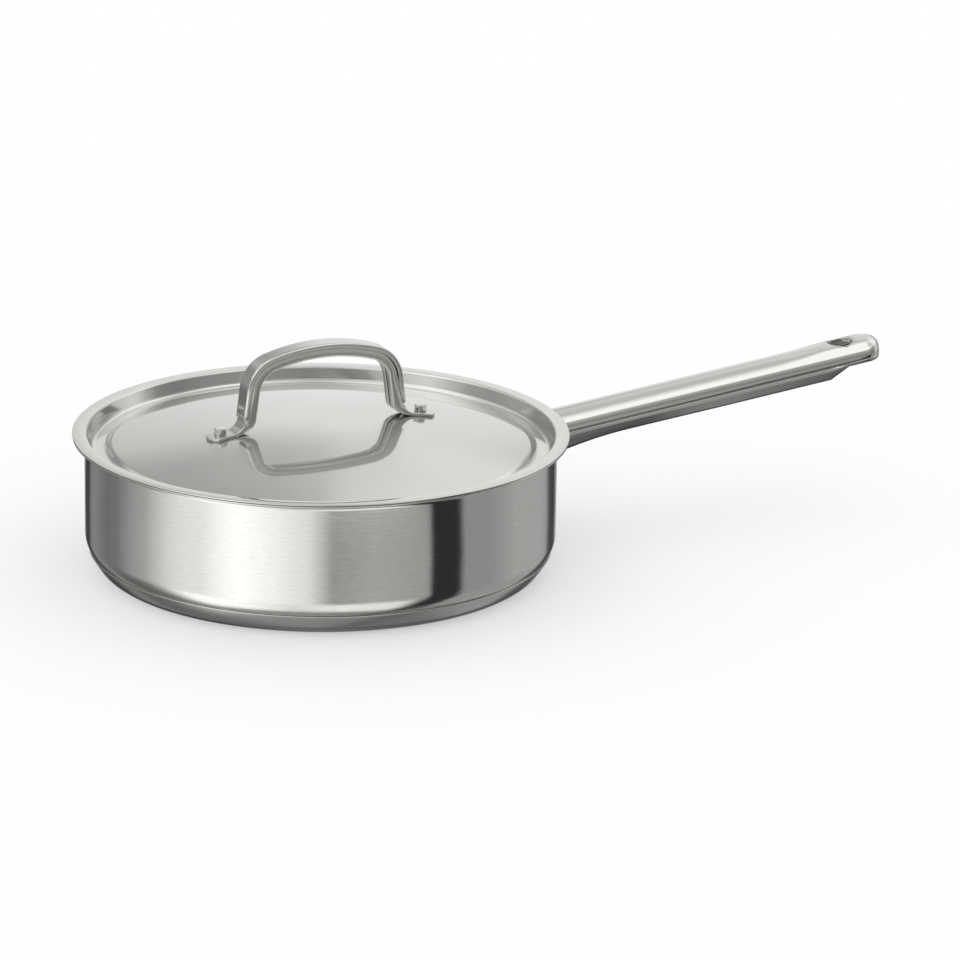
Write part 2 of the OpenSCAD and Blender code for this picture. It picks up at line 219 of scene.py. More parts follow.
def spun(piece, steps, centre=(0, 0, 0)):
    """Turns a traced outline round an upright axis and closes it."""
    bpy.ops.mesh.select_all(action="SELECT")
    bpy.ops.mesh.spin(steps=steps, angle=2 * math.pi, center=centre, axis=(0, 0, 1))
    bpy.ops.mesh.select_all(action="SELECT")
    bpy.ops.mesh.remove_doubles(threshold=merge_gap)
    bpy.ops.mesh.normals_make_consistent(inside=False)
    bpy.ops.object.mode_set(mode="OBJECT")
    bpy.ops.object.shade_smooth_by_angle(angle=math.radians(40))


pan_r = 121.0
pan_wall = 1.0
pan_corner = 15.0
wall_mid = 40.0
floor_under = 5.0
rim_top = 71.3
rim_r = 127.0
rim_bend = 3.2
rim_edge = 0.45
inner_bend = rim_bend + pan_wall
body_outline = (
    [(0, floor_under + pan_wall)]
    + arc(pan_r - pan_corner, floor_under + pan_corner, pan_corner - pan_wall, -90, 0, 20)
    + [(pan_r - pan_wall, wall_mid)]
    + arc(pan_r + rim_bend, rim_top - inner_bend, inner_bend, 180, 90, 10)
    + arc(rim_r - rim_edge, rim_top - rim_edge, rim_edge, 90, 0, 4)
    + arc(rim_r - rim_edge, rim_top - pan_wall + rim_edge, rim_edge, 0, -90, 4)
    + arc(pan_r + rim_bend, rim_top - inner_bend, rim_bend, 90, 180, 8)
    + [(pan_r, wall_mid)]
    + arc(pan_r - pan_corner, floor_under + pan_corner, pan_corner, 0, -90, 24)
    + [(0, floor_under)])
pan_body = trace("pan_body", body_outline)
spun(pan_body, round_steps)


def linear(code):
    """Turns an sRGB hex colour into linear values."""
    parts = [int(code[n:n + 2], 16) / 255 for n in (1, 3, 5)]
    lit = [p / 12.92 if p <= 0.04045 else ((p + 0.055) / 1.055) ** 2.4 for p in parts]
    return (*lit, 1.0)


def bare_metal(name, colour, roughness):
    """Starts a bare metal with its plain colour and polish, which patterns may then vary."""
    made = bpy.data.materials.new(name)
    made.use_nodes = True
    made.node_tree.nodes.clear()
    metal = add(made.node_tree, "ShaderNodeBsdfPrincipled",
                {"Base Color": linear(colour), "Metallic": 1.0, "Roughness": roughness})
    add(made.node_tree, "ShaderNodeOutputMaterial", {0: metal.outputs[0]})
    return made, made.node_tree, metal


# Brushed 18/10 stainless: fine lines round the wall that draw every reflection out upright.
brushed, tree, metal = bare_metal("brushed_stainless_wall", "#D3D2CF", 0.09)
metal.inputs["Anisotropic"].default_value = 0.95
metal.inputs["Anisotropic Rotation"].default_value = 0.25
round_axis = add(tree, "ShaderNodeTangent", direction_type="RADIAL", axis="Z")
tree.links.new(round_axis.outputs[0], metal.inputs["Tangent"])
place = add(tree, "ShaderNodeTexCoord").outputs["Object"]
parts = add(tree, "ShaderNodeSeparateXYZ", {0: place})
angle = add(tree, "ShaderNodeMath", {0: parts.outputs["Y"], 1: parts.outputs["X"]},
            operation="ARCTAN2")
# Brush lines, drawn coarser than the real ones so that they show: 0.7 mm apart up the wall
# and about 20 mm long round it.
lines_per_radian, lines_per_metre = 6.0, 1500.0
line_round = add(tree, "ShaderNodeMath", {0: angle.outputs[0], 1: lines_per_radian},
                 operation="MULTIPLY")
line_up = add(tree, "ShaderNodeMath", {0: parts.outputs["Z"], 1: lines_per_metre},
              operation="MULTIPLY")
grain_at = add(tree, "ShaderNodeCombineXYZ", {0: line_round.outputs[0], 1: line_up.outputs[0]})
grain = add(tree, "ShaderNodeTexNoise",
            {"Vector": grain_at.outputs[0], "Scale": 1.0, "Detail": 3.0})
# A noise mostly stays between these two values, which are inputs 1 and 2 of a Map Range.
noise_span = {1: 0.3, 2: 0.7}
rough = add(tree, "ShaderNodeMapRange", {0: grain.outputs[0], **noise_span, 3: 0.07, 4: 0.115})
tree.links.new(rough.outputs[0], metal.inputs["Roughness"])
dent = add(tree, "ShaderNodeBump",
           {"Strength": 0.15, "Distance": 0.0002, "Height": grain.outputs[0]})
tree.links.new(dent.outputs[0], metal.inputs["Normal"])
# Short flecks, 5 mm long and under 1 mm high, where the brush took more or less off.
flecks_per_radian, flecks_per_metre = 24.0, 1200.0
fleck_round = add(tree, "ShaderNodeMath", {0: angle.outputs[0], 1: flecks_per_radian},
                  operation="MULTIPLY")
fleck_up = add(tree, "ShaderNodeMath", {0: parts.outputs["Z"], 1: flecks_per_metre},
               operation="MULTIPLY")
fleck_at = add(tree, "ShaderNodeCombineXYZ", {0: fleck_round.outputs[0], 1: fleck_up.outputs[0]})
flecks = add(tree, "ShaderNodeTexNoise",
             {"Vector": fleck_at.outputs[0], "Scale": 1.0, "Detail": 2.0})
share = add(tree, "ShaderNodeMapRange", {0: flecks.outputs[0], **noise_span, 3: 0.0, 4: 1.0})
tint = add(tree, "ShaderNodeMix",
           {0: share.outputs[0], 6: linear("#CFCECB"), 7: linear("#D7D6D3")}, data_type="RGBA")
tree.links.new(tint.outputs[2], metal.inputs["Base Color"])
pan_body.data.materials.append(brushed)
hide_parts("vessel")
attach(pan_body, "pan")

# Core disc: rolled aluminium, pressed between the pan's floor and the cup to spread the
# heat. No view shows it, so the CAD solid stays, matt and a little cloudy as rolled metal is.
rolled, tree, metal = bare_metal("rolled_aluminium", "#B9BABC", 0.4)
place = add(tree, "ShaderNodeTexCoord").outputs["Object"]
cloud = add(tree, "ShaderNodeTexNoise", {"Vector": place, "Scale": 90.0, "Detail": 5.0})
rough = add(tree, "ShaderNodeMapRange", {0: cloud.outputs[0], **noise_span, 3: 0.32, 4: 0.5})
tree.links.new(rough.outputs[0], metal.inputs["Roughness"])
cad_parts["core_disc"].data.materials.clear()
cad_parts["core_disc"].data.materials.append(rolled)

# Base: a thin cup of stainless sheet, pressed up round the disc that spreads the heat. Its
# lip closes on the pan's corner, and that edge is the line seen round the body.
cap_t = 0.5
cap_h = 12.0
cap_r = 12.0
lip_gap = 0.1
lip_back = 0.22
lip_below = floor_under + pan_corner - cap_h
cap_lean = math.degrees(math.asin(lip_below / pan_corner))
lean_x, lean_z = math.cos(math.radians(cap_lean)), math.sin(math.radians(cap_lean))
lip_x = pan_r - pan_corner + math.sqrt(pan_corner ** 2 - lip_below ** 2) + lip_gap
cap_c = lip_x + cap_t * lean_x - (cap_r + (cap_h - cap_t * lean_z - cap_r) * lean_z) / lean_x
lip_mid = (lip_x + cap_t / 2 * lean_x - lip_back * lean_z,
           cap_h - cap_t / 2 * lean_z - lip_back * lean_x)
cap_outline = (
    [(0, cap_t)]
    + arc(cap_c, cap_r, cap_r - cap_t, -90, -cap_lean, 12)
    + arc(lip_mid[0], lip_mid[1], cap_t / 2, 180 - cap_lean, -cap_lean, 6)
    + arc(cap_c, cap_r, cap_r, -cap_lean, -90, 16)
    + [(0, 0)])
base_cup = trace("base_cup", cap_outline)
spun(base_cup, round_steps)
# Plain bright stainless, faced on a lathe: rings across the underside, drawn 0.7 mm apart so
# that they show, and soft bands 2.5 mm high up its side.
bright, tree, metal = bare_metal("pressed_stainless_cup", "#CFCECB", 0.2)
place = add(tree, "ShaderNodeTexCoord").outputs["Object"]
parts = add(tree, "ShaderNodeSeparateXYZ", {0: place})
flat = add(tree, "ShaderNodeCombineXYZ", {0: parts.outputs["X"], 1: parts.outputs["Y"]})
out = add(tree, "ShaderNodeVectorMath", {0: flat.outputs[0]}, operation="LENGTH")
rings_per_metre, bands_per_metre = 1400.0, 400.0
ring_at = add(tree, "ShaderNodeMath", {0: out.outputs["Value"], 1: rings_per_metre},
              operation="MULTIPLY")
up_at = add(tree, "ShaderNodeMath", {0: parts.outputs["Z"], 1: bands_per_metre},
            operation="MULTIPLY")
mark_at = add(tree, "ShaderNodeCombineXYZ", {0: ring_at.outputs[0], 1: up_at.outputs[0]})
marks = add(tree, "ShaderNodeTexNoise", {"Vector": mark_at.outputs[0], "Scale": 1.0, "Detail": 2.0})
rough = add(tree, "ShaderNodeMapRange", {0: marks.outputs[0], **noise_span, 3: 0.13, 4: 0.27})
tree.links.new(rough.outputs[0], metal.inputs["Roughness"])
base_cup.data.materials.append(bright)
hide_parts("base_cap")
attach(base_cup, "pan")

# Bracket: a stainless plate and tongue, welded to the wall inside the handle's root. It
# hardly shows, so the CAD solid stays. Polished on a soft wheel: bright all over, with
# patches about 5 mm across that mirror a little more or less sharply.
polished, tree, metal = bare_metal("polished_stainless", "#D2D1CE", 0.14)
place = add(tree, "ShaderNodeTexCoord").outputs["Object"]
marks = add(tree, "ShaderNodeTexNoise", {"Vector": place, "Scale": 220.0, "Detail": 4.0})
rough = add(tree, "ShaderNodeMapRange", {0: marks.outputs[0], **noise_span, 3: 0.04, 4: 0.08})
tree.links.new(rough.outputs[0], metal.inputs["Roughness"])
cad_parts["handle_bracket"].data.materials.clear()
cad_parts["handle_bracket"].data.materials.append(polished)

# Long handle: one strip of stainless pressed to a channel with a round crown, a crease
# along each side and a round end with a drawn hanging hole.
handle_len = 207.0
handle_half = 11.5
handle_t = 1.2
crown_h = 9.9
crown_r = 14.0
band_r = 5.0
tip_edge = 5.5
flange_h = 6.3
flange_lean = 0.8
flange_curve = 1.1
crease_half = 0.95
crease_z = 56.9
handle_edge = 0.28
tilt = math.radians(6.4)
tip_x = handle_len - handle_half
crown_z = crown_h - crown_r
band_x = handle_half - band_r
band_z = crown_z + math.sqrt((crown_r - band_r) ** 2 - band_x ** 2)
join = math.degrees(math.atan2(band_z - crown_z, band_x))
crease = [(0.0, crease_half), (0.13, 0.62), (0.42, 0.25), (0.55, 0.0), (0.42, -0.25), (0.13, -0.62)]
flange_marks = (0.16, 0.3, 0.5, 0.7, 0.85, 1.0)
side_line = (
    arc(0, crown_z, crown_r, 90, join, 12)
    + arc(band_x, band_z, band_r, join, 0, 8, 1)
    + [(handle_half, (band_z + crease_half) / 2)]
    + [(handle_half - deep, h) for deep, h in crease]
    + [(handle_half - flange_lean * f ** flange_curve, -flange_h * f) for f in flange_marks])
# The end's section is flat on top. From the crease down it is the side's, point for point.
flat_end = handle_half - tip_edge
front_line = (
    [(flat_end * n / 8, crown_h) for n in range(9)]
    + arc(flat_end, crown_h - tip_edge, tip_edge, 90, 0, 12, 1)
    + [(handle_half, (crown_h - tip_edge + crease_half) / 2)]
    + side_line[-len(crease) - len(flange_marks):])
# Along the handle, from the wall: the root is deeper, and the flange ends before the tip.
root_to, root_more = 50.0, 5.4
flange_to, flange_gone, tip_depth = 172.3, 185.5, 0.35
upright_from, upright_over, upright_share = 60.0, 50.0, 0.56
flat_from, flat_over, flat_share = 150.0, 26.0, 0.9
# Up from the crease: from where to where the crown gets flatter near the tip.
flat_low, flat_up = 6.2, 2.2
root_gap = 0.03


def share_of(value, start, length):
    """How much of a length a value has covered from its start, held between 0 and 1."""
    return max(0.0, min(1.0, (value - start) / length))


def ease(share):
    """Turns an even rise from 0 to 1 into one that starts and ends softly."""
    return share * share * (3 - 2 * share)


def lower_depth(along):
    """How far the flange reaches below the crease at a distance from the wall."""
    if along < root_to:
        return flange_h + root_more * (1 - along / root_to) ** 2
    if along < flange_to:
        return flange_h
    if along < flange_gone:
        return flange_h - (flange_h - tip_depth) * (along - flange_to) / (flange_gone - flange_to)
    return tip_depth


def lean_at(along):
    """How far the flange's lower edge leans inwards, less towards the tip."""
    return flange_lean * (1 - upright_share * ease(share_of(along, upright_from, upright_over)))


def on_handle(along, y, h):
    """Turns a place in the handle's own directions into the pan's."""
    return (pan_r + along * math.cos(tilt) - h * math.sin(tilt), y,
            crease_z + along * math.sin(tilt) + h * math.cos(tilt))


def handle_row(along, turned):
    """Half section from the ridge to the lower edge, along one side or round the end."""
    flat = flat_share * ease(share_of(along, flat_from, flat_over))
    deep = lower_depth(along if turned == 0 else handle_len)
    turn_c, turn_s = math.cos(math.radians(turned)), math.sin(math.radians(turned))
    row = []
    for (sy, sh), (fy, fh) in zip(side_line, front_line):
        blend = flat * share_of(sh, flat_low, flat_up)
        blend += (1 - blend) * turn_s ** 2
        y = sy + (fy - sy) * blend
        h = sh + (fh - sh) * blend
        if h < 0:
            if h < -crease_half:
                y = handle_half - lean_at(along) * deep / flange_h * (h / -flange_h) ** flange_curve
            h = h * deep / flange_h
        if turned == 0:
            x = along
            if along == 0:
                to_wall = math.sqrt((pan_r + root_gap) ** 2 - y ** 2) - pan_r
                x = (to_wall + h * math.sin(tilt)) / math.cos(tilt)
            row.append(on_handle(x, y, h))
        else:
            row.append(on_handle(tip_x + y * turn_s, y * turn_c, h))
    return row


def pick(piece):
    """Selects one piece alone and makes it the active one."""
    bpy.ops.object.select_all(action="DESELECT")
    bpy.context.view_layer.objects.active = piece
    piece.select_set(True)


def skin(name, rows, ends=()):
    """Makes a surface of quads from rows of points in mm, and end faces from point numbers."""
    wide = len(rows[0])
    quads = [(r * wide + c, r * wide + c + 1, (r + 1) * wide + c + 1, (r + 1) * wide + c)
             for r in range(len(rows) - 1) for c in range(wide - 1)]
    mesh = bpy.data.meshes.new(name)
    mesh.from_pydata([Vector(p) * MM for row in rows for p in row], [], quads + list(ends))
    piece = bpy.data.objects.new(name, mesh)
    bpy.context.collection.objects.link(piece)
    pick(piece)
    return piece


def finish_sheet(piece, thick, bevel):
    """Merges doubles, turns the outside out, and gives a sheet its thickness and soft edges."""
    bpy.ops.object.mode_set(mode="EDIT")
    bpy.ops.mesh.select_all(action="SELECT")
    bpy.ops.mesh.remove_doubles(threshold=merge_gap)
    bpy.ops.mesh.normals_make_consistent(inside=False)
    bpy.ops.object.mode_set(mode="OBJECT")
    if max(piece.data.polygons, key=lambda face: face.center.z).normal.z < 0:
        piece.data.flip_normals()
    sheet = piece.modifiers.new("sheet", "SOLIDIFY")
    sheet.thickness = thick * MM
    sheet.offset = -1
    sheet.use_even_offset = True
    bpy.ops.object.modifier_apply(modifier="sheet")
    soft = piece.modifiers.new("edges", "BEVEL")
    soft.width = bevel * MM
    soft.segments = 3
    soft.limit_method = "ANGLE"
    soft.angle_limit = math.radians(60)
    bpy.ops.object.modifier_apply(modifier="edges")
    bpy.ops.object.shade_smooth_by_angle(angle=math.radians(35))


# Places along the handle, closest at the root and where the flange ends.
runs = [0, 2, 5, 9, 13, 17, 21, 25, 29, 33, 37, 41, 46, 52, 60, 72, 90, 108, 126, 144, 160, 170,
        171.8, flange_to, 172.8, 176, 180, 184, 185, flange_gone, 186, 190, tip_x]
half_rows = [handle_row(along, 0) for along in runs]
half_rows += [handle_row(tip_x, turned) for turned in range(6, 91, 6)]
mirrored = [[(x, -y, z) for x, y, z in row] for row in half_rows[:-1][::-1]]
long_handle = skin("long_handle", half_rows + mirrored)
finish_sheet(long_handle, handle_t, handle_edge)
# The hole: a short collar under the crown, then the bore through both, then a drawn-in edge.
hole_in = 22.0
hole_x = handle_len - hole_in
hole_r = 6.5
hole_round = 0.6
bore_low, bore_high = -5.0, 16.0
collar_t = 1.0
collar_low, collar_high = 7.9, 8.9


def plug(radius, low, high):
    """An upright cylinder in the handle's directions, as a tool for cutting or joining."""
    bpy.ops.object.select_all(action="DESELECT")
    middle = Vector(on_handle(hole_x, 0, (low + high) / 2)) * MM
    bpy.ops.mesh.primitive_cylinder_add(vertices=72, radius=radius * MM, depth=(high - low) * MM,
                                        location=middle, rotation=(0, -tilt, 0))
    bpy.ops.object.transform_apply(location=True, rotation=True, scale=True)
    return bpy.context.object


def combine(piece, tool, operation):
    """Joins a piece with a tool or cuts it with the tool, and takes the tool away."""
    pick(piece)
    work = piece.modifiers.new("work", "BOOLEAN")
    work.object = tool
    work.operation = operation
    work.solver = "EXACT"
    bpy.ops.object.modifier_apply(modifier="work")
    bpy.data.objects.remove(tool, do_unlink=True)


combine(long_handle, plug(hole_r + collar_t, collar_low, collar_high), "UNION")
combine(long_handle, plug(hole_r, bore_low, bore_high), "DIFFERENCE")
bpy.ops.object.mode_set(mode="EDIT")
bpy.ops.mesh.select_all(action="DESELECT")
bpy.ops.object.mode_set(mode="OBJECT")
on_rim = []
for corner in long_handle.data.vertices:
    x, y, z = (c / MM for c in corner.co)
    along = (x - pan_r) * math.cos(tilt) + (z - crease_z) * math.sin(tilt)
    h = -(x - pan_r) * math.sin(tilt) + (z - crease_z) * math.cos(tilt)
    on_rim.append(abs(math.hypot(along - hole_x, y) - hole_r) < 0.01 and h > collar_high)
for edge in long_handle.data.edges:
    edge.select = on_rim[edge.vertices[0]] and on_rim[edge.vertices[1]]
bpy.ops.object.mode_set(mode="EDIT")
bpy.context.tool_settings.mesh_select_mode = (False, True, False)
bpy.ops.mesh.bevel(offset=hole_round * MM, segments=4, affect="EDGES", clamp_overlap=False)
bpy.ops.object.mode_set(mode="OBJECT")
bpy.context.tool_settings.mesh_select_mode = (True, False, False)
bpy.ops.object.shade_smooth_by_angle(angle=math.radians(35))
# Pressed and ground along its length, then buffed: fine lengthwise lines under a soft shine.
buffed, tree, metal = bare_metal("buffed_stainless_handle", "#D2D1CE", 0.16)
place = add(tree, "ShaderNodeTexCoord").outputs["Object"]
straight = add(tree, "ShaderNodeVectorRotate", {"Vector": place, "Angle": tilt},
               rotation_type="Y_AXIS")
# One line is 40 mm long and 0.7 mm wide, coarser than a real one so that it shows.
lines = add(tree, "ShaderNodeMapping", {"Vector": straight.outputs[0], "Scale": (25, 1500, 1500)})
marks = add(tree, "ShaderNodeTexNoise", {"Vector": lines.outputs[0], "Scale": 1.0, "Detail": 3.0})
rough = add(tree, "ShaderNodeMapRange", {0: marks.outputs[0], **noise_span, 3: 0.09, 4: 0.17})
tree.links.new(rough.outputs[0], metal.inputs["Roughness"])
long_handle.data.materials.append(buffed)
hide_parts("handle")
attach(long_handle, "pan")

# Lid: one spun stainless sheet, a flat flange on the rim, a deep channel inside the
# pan's wall and a shallow dome, polished until it mirrors softly.
lid_t = 0.8
lid_gap = 0.1
lid_top = rim_top + lid_gap + lid_t
lid_over = 0.2
lid_r = rim_r + lid_over
lid_edge = 0.2
edge_rise = 0.2
lid_bend = 1.4
channel_lean = 15.0
channel_depth = 8.0
channel_r = 2.6
wall_gap = 0.4
wall_gap_down = 3.0
step_r = 4.0
dome_r = 500.0
dome_inset = 13.5
dome_start = 2.46
out_x, out_z = math.cos(math.radians(channel_lean)), math.sin(math.radians(channel_lean))
bend_z = lid_top - lid_bend
# The channel's leaning wall stays wall_gap off the pan's, measured that far below the rim.
gap_z = rim_top - wall_gap_down
bend_x = pan_r - pan_wall - wall_gap - ((gap_z - bend_z) * out_z - (lid_bend - lid_t)) / out_x
channel_z = lid_top - channel_depth
foot_z = channel_z + channel_r
foot_x = bend_x + ((foot_z - bend_z) * out_z - lid_bend - channel_r) / out_x
dome_edge = math.degrees(math.asin((pan_r - pan_wall - dome_inset) / dome_r))
dome_z = channel_z + dome_start - dome_r * math.cos(math.radians(dome_edge))
knee_x = (dome_r - step_r) * math.sin(math.radians(dome_edge))
knee_z = dome_z + (dome_r - step_r) * math.cos(math.radians(dome_edge))
step_z = channel_z + step_r
step_angle = math.degrees(math.acos((step_z - knee_z) / (2 * step_r)))
step_x = knee_x + 2 * step_r * math.sin(math.radians(step_angle))


def lid_side(off):
    """One face of the sheet, off below its top, from the middle out to the flange's bend."""
    return (
        arc(0, dome_z, dome_r - off, 90, 90 - dome_edge, 16)
        + arc(knee_x, knee_z, step_r - off, 90 - dome_edge, 90 - step_angle, 6, 1)
        + arc(step_x, step_z, step_r + off, -90 - step_angle, -90, 8, 1)
        + arc(foot_x, foot_z, channel_r + off, -90, -channel_lean, 8)
        + arc(bend_x, bend_z, lid_bend - off, 180 - channel_lean, 90, 8))


lid_outline = (
    lid_side(0)
    + arc(lid_r - lid_edge, lid_top - lid_edge, lid_edge, 90, 0, 4)
    + arc(lid_r - lid_edge, lid_top - lid_t + edge_rise + lid_edge, lid_edge, 0, -90, 4)
    + lid_side(lid_t)[::-1])
lid_sheet = trace("lid_sheet", lid_outline)
spun(lid_sheet, round_steps)
# Spun stainless, polished on the lathe: a soft mirror in which the turning marks show as
# rings and pull each reflection a little out of line.
spun_steel, tree, metal = bare_metal("spun_stainless_lid", "#D6D5D2", 0.09)
metal.inputs["Anisotropic"].default_value = 0.35
metal.inputs["Anisotropic Rotation"].default_value = 0.25
round_axis = add(tree, "ShaderNodeTangent", direction_type="RADIAL", axis="Z")
tree.links.new(round_axis.outputs[0], metal.inputs["Tangent"])
place = add(tree, "ShaderNodeTexCoord").outputs["Object"]
parts = add(tree, "ShaderNodeSeparateXYZ", {0: place})
flat = add(tree, "ShaderNodeCombineXYZ", {0: parts.outputs["X"], 1: parts.outputs["Y"]})
out = add(tree, "ShaderNodeVectorMath", {0: flat.outputs[0]}, operation="LENGTH")
angle = add(tree, "ShaderNodeMath", {0: parts.outputs["Y"], 1: parts.outputs["X"]},
            operation="ARCTAN2")
# Turning marks, drawn coarser than the real ones so that they show: rings about 0.5 mm
# apart, unbroken for a third of the way round.
marks_per_metre, marks_per_radian = 2000.0, 0.5
ring_at = add(tree, "ShaderNodeMath", {0: out.outputs["Value"], 1: marks_per_metre},
              operation="MULTIPLY")
turn_at = add(tree, "ShaderNodeMath", {0: angle.outputs[0], 1: marks_per_radian},
              operation="MULTIPLY")
mark_at = add(tree, "ShaderNodeCombineXYZ", {0: ring_at.outputs[0], 1: turn_at.outputs[0]})
marks = add(tree, "ShaderNodeTexNoise", {"Vector": mark_at.outputs[0], "Scale": 1.0, "Detail": 2.0})
rough = add(tree, "ShaderNodeMapRange", {0: marks.outputs[0], **noise_span, 3: 0.03, 4: 0.06})
# The channel, from 104 mm out, is left as it came off the roller, less bright than the dome.
rolled_in = add(tree, "ShaderNodeMapRange",
                {0: out.outputs["Value"], 1: 0.104, 2: 0.114, 3: 0.0, 4: 0.03})
rough_all = add(tree, "ShaderNodeMath", {0: rough.outputs[0], 1: rolled_in.outputs[0]},
                operation="ADD")
tree.links.new(rough_all.outputs[0], metal.inputs["Roughness"])
# The dome's turning grooves also throw a wide soft fan of light across themselves, which
# fades from 75 mm out to the channel.
haze = add(tree, "ShaderNodeBsdfPrincipled",
           {"Base Color": linear("#E4E3E0"), "Metallic": 1.0, "Roughness": 0.3,
            "Anisotropic": 0.9, "Anisotropic Rotation": 0.25, "Tangent": round_axis.outputs[0]})
out_of = next(node for node in tree.nodes if node.bl_idname == "ShaderNodeOutputMaterial")
on_dome = add(tree, "ShaderNodeMapRange",
              {0: out.outputs["Value"], 1: 0.075, 2: 0.108, 3: 0.28, 4: 0.12},
              interpolation_type="SMOOTHSTEP")
sheen = add(tree, "ShaderNodeMixShader",
            {0: on_dome.outputs[0], 1: metal.outputs[0], 2: haze.outputs[0]})
tree.links.new(sheen.outputs[0], out_of.inputs[0])
lid_sheet.data.materials.append(spun_steel)
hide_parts("lid")
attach(lid_sheet, "lid_assembly")

# Studs: two short stainless pins, welded upright on the dome. The lid handle's tabs are
# pushed over them and held there.
stud_x = 56.0
stud_r = 3.05
stud_edge = 0.4
stud_up = 3.5
stud_sunk = 0.6
stud_crown = ((0.0, 0.06), (1.6, 0.04))
strap_t = 1.5
contact_gap = 0.05
tab_lean = math.degrees(math.asin(stud_x / dome_r))
tab_s, tab_c = math.sin(math.radians(tab_lean)), math.cos(math.radians(tab_lean))


def dome_at(x):
    """Height of the dome's top at a distance from the middle."""
    return dome_z + math.sqrt(dome_r ** 2 - x ** 2)


def tab_at(along, up):
    """A place (x, z) on the right tab: along it from the stud, and up from its underside."""
    return (stud_x + along * tab_c + (contact_gap + up) * tab_s,
            dome_at(stud_x) - along * tab_s + (contact_gap + up) * tab_c)


tab_top = tab_at(0, strap_t)[1]
stud_top = tab_top + stud_up
stud_foot = dome_at(stud_x) - stud_sunk
stud_outline = (
    [(stud_x + out_from, stud_top + higher) for out_from, higher in stud_crown]
    + arc(stud_x + stud_r - stud_edge, stud_top - stud_edge, stud_edge, 90, 0, 5)
    + [(stud_x + stud_r, stud_foot), (stud_x, stud_foot)])
studs = trace("lid_handle_studs", stud_outline)
spun(studs, 64, (stud_x * MM, 0, 0))
bpy.ops.object.mode_set(mode="EDIT")
bpy.ops.mesh.select_all(action="SELECT")
bpy.ops.mesh.duplicate()
bpy.ops.transform.rotate(value=math.pi, orient_axis="Z", center_override=(0, 0, 0))
bpy.ops.object.mode_set(mode="OBJECT")
studs.data.materials.append(polished)
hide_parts("lid_studs")
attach(studs, "lid_assembly")

# Lid handle, strap: a pressed stainless channel. In the foot of each leg its sides open
# out and run flat into a tab that lies on the dome.
cover_t = 0.8
cover_off = cover_t + contact_gap
grip_half = 6.0
grip_top_r = 100.0
grip_turn_r = 20.0
# The grip's top is this far above the tabs, and each leg leans out towards its foot.
grip_up = 43.1
leg_lean = 7.0
leg_deep = 7.4
foot_r = 7.0
foot_from = -5.6
tab_tip = stud_x + 7.3
tab_end_r = 8.6
leg_x, leg_z = math.cos(math.radians(leg_lean)), math.sin(math.radians(leg_lean))
top_r = grip_top_r - cover_off
turn_r = grip_turn_r - cover_off
bow_x, bow_z = tab_at(foot_from, strap_t + foot_r)
top_z = tab_top + grip_up - cover_off - top_r
reach = bow_x * leg_x + bow_z * leg_z - foot_r - turn_r
turn_angle = math.degrees(math.asin((reach - top_z * leg_z) / (top_r - turn_r))) - leg_lean
turn_x = (top_r - turn_r) * math.sin(math.radians(turn_angle))
turn_z = top_z + (top_r - turn_r) * math.cos(math.radians(turn_angle))


def stations(x, z, radius, start, end, steps, inward, skip=0):
    """Places on an arc of the side view, each with the direction that points inwards."""
    found = []
    for n in range(skip, steps + 1):
        a = math.radians(start + (end - start) * n / steps)
        c, s = math.cos(a), math.sin(a)
        found.append((x + radius * c, z + radius * s, inward * c, inward * s))
    return found


def arch(off):
    """Right half of the arch, off inside the strap's upper face, down to the leg's foot."""
    return (stations(0, top_z, top_r - off, 90, 90 - turn_angle, 12, -1)
            + stations(turn_x, turn_z, turn_r - off, 90 - turn_angle, leg_lean, 20, -1, 1))


def both_ends(half):
    """Rows from the middle outwards, completed with their mirror image."""
    return [[(-x, y, z) for x, y, z in row] for row in half[:0:-1]] + half


strap_half = grip_half - cover_off
side_depth = leg_deep - cover_off
past_tip = 9.0
heel_r = 7.0
sole_r = 28.0
sole_angle = 28.0
to_heel_x = (heel_r - sole_r) * math.sin(math.radians(sole_angle))
to_heel_z = (heel_r - sole_r) * math.cos(math.radians(sole_angle))
heel_reach = turn_x * leg_x + turn_z * leg_z + turn_r - side_depth + heel_r
sole_x, sole_z = tab_at(0, sole_r)
sole_short = heel_reach - (sole_x + to_heel_x) * leg_x - (sole_z + to_heel_z) * leg_z
sole_along = sole_short / (tab_c * leg_x - tab_s * leg_z)
sole_x, sole_z = tab_at(sole_along, sole_r)
lower_edge = (
    [place[:2] for place in arch(side_depth)]
    + arc(sole_x + to_heel_x, sole_z + to_heel_z, heel_r, 180 + leg_lean, 270 - sole_angle, 14)
    + arc(sole_x, sole_z, sole_r, 270 - sole_angle, 270 - tab_lean, 14, 1)
    + [tab_at(past_tip, 0)])
deepest = 9.0


def depth_at(x, z, dx, dz):
    """How deep the strap's lower edge is below a place on its upper face."""
    for (ax, az), (bx, bz) in zip(lower_edge, lower_edge[1:]):
        ex, ez = bx - ax, bz - az
        cross = dx * ez - dz * ex
        far = ((ax - x) * ez - (az - z) * ex) / cross
        along = ((ax - x) * dz - (az - z) * dx) / cross
        if -1e-6 <= along <= 1 + 1e-6 and 0 < far < deepest:
            return far
    return strap_t


tab_half = 7.2
flare_from = 53.0
flare_soft = 0.8
corner_x = tab_tip - tab_end_r + math.sqrt(tab_end_r ** 2 - tab_half ** 2)
flare = (tab_half - strap_half) / (corner_x - flare_from)
# Where a side is deep enough, it swells a little and its lower edge is turned in as a hem.
formed_from, formed_over = 2.5, 2.5
side_swell = 0.55
inner_share = 0.75
hem_gap = 0.8
hem_t = 1.2
hem_share = 0.6


